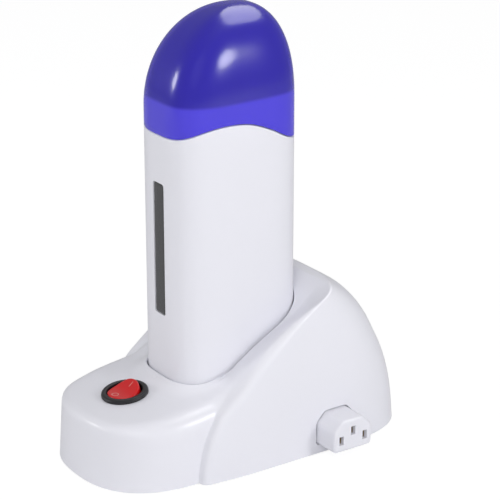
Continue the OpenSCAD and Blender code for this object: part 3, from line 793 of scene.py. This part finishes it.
class WAX_OT_dock(bpy.types.Operator):
    """Makes the dock's shell: toe, saddle, cheeks and hump in one moulding, with its holes"""

    bl_idname = "wax.dock"
    bl_label = "Dock shell"

    def execute(self, context):
        dock, hand = context.scene.wax_dock, context.scene.wax_handset
        switch = context.scene.wax_switch
        shell = cleaned(grid_mesh("dock_shell", dock_points(dock, hand, 190, 118)), sharp=40)
        thicken(shell, dock.wall)
        hole = prism("switch_hole", oval_ring(SEAT_R + 0.4, SEAT_R + 0.4, 2, 64), -12, 12,
                     lambda x, y, z: switch_space(x, y, z, switch))
        outlet = prism("outlet_hole", rounded(grown(PLUG_FACE, 0.6), 1.8), 36, 60, outlet_space)
        half_inlet = (INLET_HIGH[1] - INLET_LOW[1]) / 2 - 1.7
        notch = prism("inlet_hole", np.array([(-half_inlet, -30), (half_inlet, -30), (half_inlet, INLET_RISE),
                                              (-half_inlet, INLET_RISE)]), -60, -38, outlet_space)
        cut(shell, hole, outlet, notch)
        cleaned(shell, sharp=40)
        dress(shell, "dock", "white_shell", "base_shell")
        return {"FINISHED"}


INLET_RISE = 10.0       # from the inlet's middle to the top of its hole


class WAX_OT_dock_liner(bpy.types.Operator):
    """Makes the pocket that the handset stands in: its top follows the rim, its floor has the plug's hole"""

    bl_idname = "wax.dock_liner"
    bl_label = "Dock liner"

    def execute(self, context):
        dock, hand = context.scene.wax_dock, context.scene.wax_handset
        outline = (hand.half_x, hand.half_y, hand.squareness, 240, hand.middle)
        under, floor = CUP_FLOOR
        inside = oval_ring(*outline, room=0.5)
        outside = oval_ring(*outline, room=2.3)
        hole = oval_ring(8.3, 11.55, 12, 240, hand.middle)
        top = rim_height(oval_ring(*outline, room=dock.slide + dock.lip), dock, hand) - 2.4
        profile = [(hole, under), (outside, under), (outside, top), (inside, top),
                   (inside, floor + 2), (oval_ring(*outline, room=0), floor + 0.5),
                   (oval_ring(*outline, room=-1.5), floor), (hole, floor)]
        liner = cleaned(ring_tube("dock_liner", [ring_at(flat, height) for flat, height in profile]), sharp=50)
        joined([liner] + [screw_post(at, 4, CUP_LOW[2], under)
                          for at in ((-15, -22), (15, -22), (-15, 20), (15, 20))])
        dress(liner, "dock", "white_shell", "dock_cup")
        return {"FINISHED"}


CUP_FLOOR = (20.0, 22.0)    # underside and upper side of the pocket's floor

# ---------- the handset ----------

SEAM_LINE = [(-36, 0.7), (-21, 5.9), (-10, 6.9), (2, 5.4), (13, 1.1), (24, -4.6), (36, -7.6)]


def seam_height(y, hand):
    """Height of the wavy joint between shell and cap: highest near the front, lowest at the back."""
    return hand.seam + smooth_rows(SEAM_LINE, y)


HAND_COUNT = 320        # points round the handset


def hand_ring(hand, room, height, count=HAND_COUNT):
    """A ring of the handset's outline moved out by room, at a height; 'seam' follows the joint."""
    flat = oval_ring(hand.half_x, hand.half_y, hand.squareness, count, hand.middle, room)
    if isinstance(height, tuple):
        height = seam_height(flat[:, 1], hand) + height[1]
    return ring_at(flat, height)


def front_space(x, y, z):
    """From an outline in x and height, and a depth along y, to the object's axes."""
    return np.column_stack([x, z, y])


class WAX_OT_handset(bpy.types.Operator):
    """Makes the handset's shell with rounded ends, and cuts the window's opening in its narrow front"""

    bl_idname = "wax.handset"
    bl_label = "Handset shell"

    def execute(self, context):
        hand = context.scene.wax_handset
        low = SHELL_LOW[2]
        profile = [(-hand.wall, low + 0.2), (-1.5, low), (-1.0, low), (-0.5, low + 0.15), (-0.15, low + 0.5),
                   (0, low + 1.0), (0, low + 20), (0, low + 60), (0, ("seam", -8)), (0, ("seam", -0.65)),
                   (-0.08, ("seam", -0.35)), (-0.3, ("seam", -0.18)), (-0.6, ("seam", -0.15)),
                   (-hand.wall, ("seam", -0.15)), (-hand.wall, low + 60)]
        shell = ring_tube("handset_skin", [hand_ring(hand, room, height) for room, height in profile])
        front = hand.middle - hand.half_y
        opening = prism("window_opening", window_outline(hand, 0.12), front - 3, front + hand.wall + 3,
                        front_space)
        cut(cleaned(shell), opening)
        posts = [screw_post((0, at), 3.4, low + 2.6, low + 22)
                 for at in (hand.middle - hand.half_y + 5.4, hand.middle + hand.half_y - 5.4)]
        joined([cleaned(shell)] + posts)
        shell.data.set_sharp_from_angle(angle=math.radians(35))
        dress(shell, "handset", "white_shell", "handset_shell")
        return {"FINISHED"}


def window_outline(hand, room):
    """The window's outline in x and height, its corners rounded, moved out by room."""
    half = LENS_FACE_HALF + room
    low, high = LENS_LOW[2] + 2 - room, LENS_HIGH[2] - 2 + room
    box = [(-half, low), (half, low), (half, high), (-half, high)]
    return rounded(box, hand.window_corner, steps=7)


LENS_FACE_HALF = 4.5


class WAX_OT_window(bpy.types.Operator):
    """Makes the level window: a smoky pane with a rounded edge, set back in its opening on a flange"""

    bl_idname = "wax.window"
    bl_label = "Level window"

    def execute(self, context):
        hand = context.scene.wax_handset
        front = hand.middle - hand.half_y
        rings = []
        for room, back in ((-3.2, 0.30), (-1.2, 0.31), (-0.5, 0.36), (-0.2, 0.48), (-0.08, 0.7), (-0.08, 2.15),
                           (1.2, 2.2), (1.2, 3.3), (-3.2, 3.3)):
            outline = window_outline(hand, room)
            rings.append(np.column_stack([outline[:, 0], np.full(len(outline), front + back), outline[:, 1]]))
        pane = filled(ring_tube("window_pane", rings), rings)
        dress(cleaned(pane, sharp=40), "handset", "window_grey", "window_lens")
        return {"FINISHED"}


def filled(piece, rings):
    """Closes a tube's two inner rings with flat faces in place of the wall between them."""
    across, around = len(rings), len(rings[0])
    work = bmesh.new()
    work.from_mesh(piece.data)
    work.verts.ensure_lookup_table()
    first = [work.verts[i * across] for i in range(around)]
    last = [work.verts[i * across + across - 1] for i in range(around)]
    between = [face for face in work.faces
               if {v.index % across for v in face.verts} == {0, across - 1}]
    bmesh.ops.delete(work, geom=between, context="FACES_ONLY")
    work.faces.new(first)
    work.faces.new(last)
    bmesh.ops.recalc_face_normals(work, faces=work.faces)
    work.to_mesh(piece.data)
    work.free()
    return piece


class WAX_OT_well(bpy.types.Operator):
    """Makes the collar under the cap and the well for the cartridge inside it"""

    bl_idname = "wax.well"
    bl_label = "Collar and well"

    def execute(self, context):
        hand, cap = context.scene.wax_handset, context.scene.wax_cap
        low, top = COLLAR_LOW[2], COLLAR_HIGH[2]
        outer = -(cap.wall + 0.8)
        mouth = oval_ring(WELL_HALF[0] + 0.2, WELL_HALF[1] + 0.2, 4, HAND_COUNT, hand.middle)
        wide = oval_ring(WELL_HALF[0] + 0.7, WELL_HALF[1] + 0.7, 4, HAND_COUNT, hand.middle)
        shoulder = hand.seam - 10
        skirt, bore = -hand.wall - 0.2, outer - 1.5
        rings = [hand_ring(hand, *row) for row in (
            (skirt, low), (skirt, shoulder), (outer, shoulder + 0.3), (outer, top - 1.2),
            (outer - 0.15, top - 0.6), (outer - 0.5, top - 0.2), (outer - 1.1, top))]
        rings += [ring_at(wide, top), ring_at(mouth, top - 0.4), ring_at(mouth, top - 2)]
        rings += [hand_ring(hand, bore, top - 2), hand_ring(hand, bore, low)]
        collar = cleaned(ring_tube("collar_skin", rings), sharp=40)
        dress(collar, "handset", "white_shell", "well_collar")
        floor, rim = WELL_LOW[2] + WELL_WALL, WELL_HIGH[2]
        tiny = oval_ring(AXIS_R, AXIS_R, 2, HAND_COUNT, hand.middle)
        inside = oval_ring(*WELL_HALF, 4, HAND_COUNT, hand.middle)
        foot = oval_ring(WELL_HALF[0] - 1, WELL_HALF[1] - 1, 4, HAND_COUNT, hand.middle)
        outside = oval_ring(WELL_HALF[0] + WELL_WALL, WELL_HALF[1] + WELL_WALL, 4, HAND_COUNT, hand.middle)
        rings = [ring_at(tiny, floor - WELL_WALL), ring_at(outside, floor - WELL_WALL), ring_at(outside, rim),
                 ring_at(inside, rim), ring_at(inside, floor + 1), ring_at(foot, floor), ring_at(tiny, floor)]
        well = cleaned(ring_tube("well_skin", rings), sharp=40)
        slot = [(-4, LENS_LOW[2] + 4), (4, LENS_LOW[2] + 4), (4, LENS_HIGH[2] - 4), (-4, LENS_HIGH[2] - 4)]
        opening = prism("slot", np.array(slot), hand.middle - WELL_HALF[1] - 4, hand.middle - WELL_HALF[1] + 5,
                        front_space)
        dress(cleaned(cut(well, opening), sharp=40), "handset", "inner_plastic", "cartridge_well")
        return {"FINISHED"}


WELL_WALL = 1.4
WELL_HALF = ((WELL_HIGH[0] - WELL_LOW[0]) / 2 - WELL_WALL, (WELL_HIGH[1] - WELL_LOW[1]) / 2 - WELL_WALL)


# ---------- the cap ----------

CAP_COUNT = 256         # points round the cap
CAP_STEPS = 70          # rings of each of its two surfaces


def cap_ring(hand, cap, share, height, room):
    """One ring of the cap's surface drawn in by room.

    Below the dome it is the handset's outline. In the dome, at a share t of its height, the half width
    across x is left times (1 - t^2.3)^(1/2.3), and the reach from the apex along y times the same with
    2 to the front and 2.5 to the back.
    """
    flat = oval_ring(hand.half_x - room, hand.half_y - room, hand.squareness, CAP_COUNT, hand.middle)
    x, y = flat.T
    left = (1 - share ** 2.3) ** (1 / 2.3)
    front, back = (1 - share ** 2) ** 0.5, (1 - share ** 2.5) ** 0.4
    y = cap.apex + (y - cap.apex) * np.where(y < cap.apex, front, back)
    return np.column_stack([x * left, y, np.broadcast_to(height, len(x))])


def cap_rings(hand, cap, room, count):
    """Rings of the cap from its wavy lower edge to just off the apex."""
    flat = oval_ring(hand.half_x - room, hand.half_y - room, hand.squareness, CAP_COUNT, hand.middle)
    foot = seam_height(flat[:, 1], hand) + 0.3
    rings = [cap_ring(hand, cap, 0.0, foot + (cap.dome - foot) * step, room) for step in (0.03, 0.35, 0.7)]
    top = CAP_HIGH[2] - room
    for turn in np.linspace(0, math.pi / 2 - 1e-4, count):
        share = math.sin(turn)
        rings.append(cap_ring(hand, cap, share, cap.dome + (top - cap.dome) * share, room))
    return rings


class WAX_OT_cap(bpy.types.Operator):
    """Makes the clear blue cap with its wall, from its wavy lower edge to the dome"""

    bl_idname = "wax.cap"
    bl_label = "Cap"

    def execute(self, context):
        hand, cap = context.scene.wax_handset, context.scene.wax_cap
        outer, inner = (cap_rings(hand, cap, room, CAP_STEPS) for room in (0.0, cap.wall))
        edge = [hand_ring(hand, room, ("seam", rise), CAP_COUNT) for room, rise in (
            (-cap.wall, 0.5), (-cap.wall + 0.3, 0.3), (-0.3, 0.3), (-0.06, 0.45))]
        dome = cleaned(ring_tube("cap_dome", edge + outer + inner[::-1]), sharp=50)
        dress(dome, "cap", "cap_blue", "cap")
        return {"FINISHED"}


# ---------- the switch and the mains connectors ----------


def rocker_top(y):
    """Height of the rocker's top over its own y: a shallow valley between its raised ends."""
    return smooth_rows([(-9, 4.4), (-7, 4.2), (-3.6, 3), (0, 2.4), (3.6, 3), (7, 4.2), (9, 4.4)], y)


class WAX_OT_switch(bpy.types.Operator):
    """Makes the rocker switch: the bezel and body, the tilted rocker, and its two marks"""

    bl_idname = "wax.switch"
    bl_label = "Switch"

    def execute(self, context):
        switch = context.scene.wax_switch
        still = lambda x, y, z: switch_space(x, y, z, switch)
        tilted = lambda x, y, z: switch_space(x, y, z, switch, switch.tilt)
        profile = rounded([(AXIS_R, -18), (SEAT_R, -18), (SEAT_R, 0.05), (switch.bezel, 0.05),
                           (switch.bezel, 1.3), (switch.bezel - 0.8, 2), (CAVITY_R, 2), (CAVITY_R, -7),
                           (AXIS_R, -7)],
                          [0, 0.3, 0.1, 0.1, 0.6, 0.5, 0.45, 0.3, 0])
        bezel = cleaned(lathe("switch_bezel", profile, 128, still), sharp=50)
        dress(bezel, "dock", "black_plastic", "switch_housing")
        turn = np.arange(128)[:, None] * 2 * math.pi / 128
        r = np.concatenate([[AXIS_R, AXIS_R], ROCKER_R - np.array([0.3, 0, 0, 0.06, 0.22, 0.5, 0.9]),
                            np.linspace(ROCKER_R - 1.5, AXIS_R, 16)])
        drop = np.concatenate([[0, 0, 0, 0, 0.8, 0.42, 0.19, 0.06, 0], np.zeros(16)])
        x, y = r * np.cos(turn), r * np.sin(turn)
        z = rocker_top(y) - drop
        z[:, :3], z[:, 3] = PIN_Z - 2, PIN_Z - 1.7
        z[:, 0] = rocker_top(0)
        points = tilted(x.ravel(), y.ravel(), (z + PIN_Z).ravel()).reshape(128, -1, 3)
        rocker = cleaned(grid_mesh("rocker", points, close_across=True), sharp=50)
        pin = lathe("pin", [(AXIS_R, -8.75), (1.2, -8.75), (1.2, 8.75), (AXIS_R, 8.75)], 24,
                    lambda x, y, z: tilted(z, x, y + PIN_Z))
        joined([rocker, cleaned(pin)])
        dress(rocker, "rocker", "rocker_red", "switch_rocker")
        rim = np.linspace(0, 2 * math.pi, 49)[:-1]
        ring = [np.column_stack([radius * np.cos(rim), -4.7 + radius * np.sin(rim)]) for radius in (1.25, 1.75)]
        bar = rounded([(-0.25, 3.3), (0.25, 3.3), (0.25, 6.3), (-0.25, 6.3)], 0.1)
        core = bar * [0.2, 0] + [0, 4.8] + (bar - [0, 4.8]) * [0, 0.9]
        marks = [inlay("mark_ring", ring[1], ring[0], tilted), inlay("mark_bar", bar, core, tilted)]
        dress(joined(marks), "rocker", "rocker_red").data.materials[0] = MATERIALS["mark"]
        return {"FINISHED"}


def inlay(name, outer, inner, to_space):
    """A thin closed band on the rocker's top between two outlines of equal count."""
    rings = []
    for outline, rise in ((outer, -0.1), (outer, 0.02), (inner, 0.02), (inner, -0.1)):
        x, y = outline.T
        rings.append(to_space(x, y, rocker_top(y) + PIN_Z + rise))
    return cleaned(ring_tube(name, rings))


def bevelled_copy(node, name, width, sharp=30):
    """A copy of a node's mesh as a new piece, its doubled points merged and its sharp edges rounded."""
    piece = bpy.data.objects.new(name, frame["nodes"][node].data.copy())
    bpy.context.scene.collection.objects.link(piece)
    cleaned(piece, sharp=180)
    work = bmesh.new()
    work.from_mesh(piece.data)
    bmesh.ops.dissolve_limit(work, angle_limit=math.radians(1), verts=work.verts, edges=work.edges)
    work.to_mesh(piece.data)
    work.free()
    edges = piece.modifiers.new("edges", "BEVEL")
    edges.width = width * MM
    edges.segments = 3
    edges.limit_method = "ANGLE"
    edges.angle_limit = math.radians(sharp)
    edges.harden_normals = False
    applied(piece)
    piece.data.shade_smooth()
    piece.data.set_sharp_from_angle(angle=math.radians(32))
    return piece


def outlet_block():
    """The outlet: a six-sided block with rounded edges, a flange inside the dock and three slots."""
    low, high = OUTLET_LOW[0], OUTLET_HIGH[0]
    profile = [(-2.4, high), (-1.3, high), (-0.75, high - 0.08), (-0.35, high - 0.3), (-0.1, high - 0.7),
               (0, high - 1.3), (0, low + 2), (1.8, low + 2), (1.8, low)]
    rings = []
    for room, along in profile:
        outline = rounded(grown(PLUG_FACE, room), 1.8 if room > -1 else 1.2, steps=7)
        rings.append(outlet_space(outline[:, 0], outline[:, 1], np.full(len(outline), along)))
    block = cleaned(filled(ring_tube("outlet", rings), rings), sharp=40)
    slots = [prism("slot", np.array([(-1.3, -2.3), (1.3, -2.3), (1.3, 2.3), (-1.3, 2.3)]) + pole,
                   high - 15, high + 1, outlet_space) for pole in POLES]
    return cleaned(cut(block, *slots), sharp=40)


POLES = [(-7, -2), (7, -2), (0, 2)]     # live, neutral and earth, from the middle of a connector's face


class WAX_OT_connectors(bpy.types.Operator):
    """Makes the mains outlet, the mains inlet and the plug in the dock with softened edges"""

    bl_idname = "wax.connectors"
    bl_label = "Connectors"

    def execute(self, context):
        dress(outlet_block(), "dock", "white_shell", "outlet_body")
        dress(bevelled_copy("inlet_body", "inlet", 0.3), "dock", "black_plastic", "inlet_body")
        dress(bevelled_copy("dock_connector", "dock_plug", 0.3), "dock", "black_plastic", "dock_connector")
        return {"FINISHED"}


class WAX_OT_hidden_parts(bpy.types.Operator):
    """Gives the parts that are shown as constructed their materials"""

    bl_idname = "wax.hidden_parts"
    bl_label = "Other parts"

    def execute(self, context):
        slots = {part["node"]: part["material_slot"] for part in frame["record"]["subparts"]}
        for name, node in frame["nodes"].items():
            if node.hide_render:
                continue
            if not node.data.materials:
                node.data.materials.append(None)
            for place in node.material_slots:
                place.link = "OBJECT"
                place.material = MATERIALS[slots[name]]
        return {"FINISHED"}


# ---------- the studio ----------


def direction(azimuth, elevation):
    """The unit vector at an azimuth from -Y towards +X and an elevation over the horizon, in radians."""
    return Vector((math.sin(azimuth) * math.cos(elevation), -math.cos(azimuth) * math.cos(elevation),
                   math.sin(elevation)))


def area_lamp(name, toward, distance, width, height, power, lights="all"):
    """A soft lamp in a direction given as (azimuth, elevation) in degrees, at a distance in metres.

    lights is "all", "diffuse" for a fill that leaves no highlight, or "gloss" for a sheen that adds no light.
    """
    way = direction(*(math.radians(degrees) for degrees in toward))
    lamp = bpy.data.lights.new(name, "AREA")
    lamp.shape = "ELLIPSE"
    lamp.size, lamp.size_y = width, height
    lamp.energy = power
    made = bpy.data.objects.new(name, lamp)
    made.location = Vector((0, 0, 0.1)) + way * distance
    made.visible_glossy = lights != "diffuse"
    made.visible_diffuse = lights != "gloss"
    made.rotation_mode = "QUATERNION"
    made.rotation_quaternion = (-way).to_track_quat("-Z", "Y")
    bpy.context.scene.collection.objects.link(made)
    return made


def studio_floor():
    """A plain floor that is white to the camera, but for the shadow."""
    material, place = new_material("studio_floor")
    seen = place.node("ShaderNodeLightPath", out=0)
    plain = place.node("ShaderNodeBsdfDiffuse", None, {"Color": (0.82, 0.82, 0.83, 1)})
    glow = place.node("ShaderNodeEmission", None, {"Color": (1, 1, 1, 1), "Strength": 1.16})
    both = place.node("ShaderNodeMixShader", None, {"Fac": seen * 0.76, 1: plain, 2: glow})
    finish_material(material, both)
    mesh = bpy.data.meshes.new("floor")
    mesh.from_pydata([(-6, -6, 0), (6, -6, 0), (6, 6, 0), (-6, 6, 0)], [], [(0, 1, 2, 3)])
    mesh.materials.append(material)
    floor = bpy.data.objects.new("floor", mesh)
    bpy.context.scene.collection.objects.link(floor)


def studio_world(plain, mirrored):
    """A world that is white to the camera and through clear parts, mirrored in gloss, and plain as a light."""
    world = bpy.data.worlds.new("studio")
    bpy.context.scene.world = world
    world.use_nodes = True
    tree = world.node_tree
    tree.nodes.clear()
    path = tree.nodes.new("ShaderNodeLightPath")
    seen = Wire(tree, path.outputs["Is Camera Ray"])
    through = Wire(tree, path.outputs["Is Transmission Ray"])
    gloss = Wire(tree, path.outputs["Is Glossy Ray"])
    open_sky = seen.math("MAXIMUM", seen, through)
    strength = open_sky + (1 - open_sky) * (gloss * (mirrored - plain) + plain)
    sky = seen.node("ShaderNodeBackground", None, {"Color": (1, 1, 1, 1), "Strength": strength})
    output = tree.nodes.new("ShaderNodeOutputWorld")
    tree.links.new(sky.socket, output.inputs["Surface"])


class WAX_OT_studio(bpy.types.Operator):
    """Makes the floor, the lamps, the white surroundings and the camera"""

    bl_idname = "wax.studio"
    bl_label = "Studio"

    def execute(self, context):
        scene, studio = context.scene, context.scene.wax_studio
        studio_floor()
        studio_world(0.38, 0.42)
        area_lamp("key_lamp", (113, 20), 1.3, 0.36, 0.32, 4.4)
        area_lamp("front_lamp", (-34, 16), 1.3, 0.24, 0.34, 2.9)
        area_lamp("fill_lamp", (50, 32), 2.0, 1.2, 1.2, 14.0, "diffuse")
        area_lamp("sky_fill", (90, 72), 2.0, 1.2, 1.2, 4.0, "diffuse")
        area_lamp("top_sheen", (-170, 62), 1.2, 1.3, 0.7, 12.0, "gloss")
        lens = bpy.data.cameras.new("camera")
        lens.lens = studio.lens
        lens.sensor_width = 36
        lens.clip_start, lens.clip_end = 0.05, 30
        camera = bpy.data.objects.new("camera", lens)
        back = direction(studio.azimuth, studio.elevation)
        camera.location = Vector(LOOK_AT) * MM + back * studio.distance
        camera.rotation_mode = "QUATERNION"
        camera.rotation_quaternion = (-back).to_track_quat("-Z", "Y")
        scene.collection.objects.link(camera)
        scene.camera = camera
        scene.view_settings.view_transform = "Standard"
        scene.view_settings.look = "None"
        return {"FINISHED"}


LOOK_AT = (0, 16.99, 93.9)

# ---------- the panel and the start ----------

OPERATORS = (WAX_OT_dock, WAX_OT_dock_liner, WAX_OT_handset, WAX_OT_window, WAX_OT_well, WAX_OT_cap,
             WAX_OT_switch, WAX_OT_connectors, WAX_OT_hidden_parts, WAX_OT_studio)


class WAX_PT_panel(bpy.types.Panel):
    """Sizes, colours and a button for each piece"""

    bl_idname = "WAX_PT_panel"
    bl_label = "Roll-on wax heater"
    bl_space_type = "VIEW_3D"
    bl_region_type = "UI"
    bl_category = "Wax Heater"

    def draw(self, context):
        for name, group in GROUPS.items():
            box = self.layout.box()
            box.label(text=group.__name__)
            for key in group.__annotations__:
                box.prop(getattr(context.scene, name), key)
        for operator in OPERATORS:
            self.layout.operator(operator.bl_idname)


CLASSES = (*GROUPS.values(), *OPERATORS, WAX_PT_panel)


def register():
    for kind in CLASSES:
        bpy.utils.register_class(kind)
    for name, group in GROUPS.items():
        setattr(bpy.types.Scene, name, bpy.props.PointerProperty(type=group))


def unregister():
    for name in GROUPS:
        delattr(bpy.types.Scene, name)
    for kind in reversed(CLASSES):
        bpy.utils.unregister_class(kind)


def main():
    """Builds everything in order."""
    register()
    MATERIALS.update(make_materials(bpy.context.scene))
    for operator in OPERATORS:
        family, word = operator.bl_idname.split(".")
        if getattr(getattr(bpy.ops, family), word)() != {"FINISHED"}:
            raise RuntimeError(operator.bl_idname + " didn't finish")


if __name__ == "__main__":
    main()
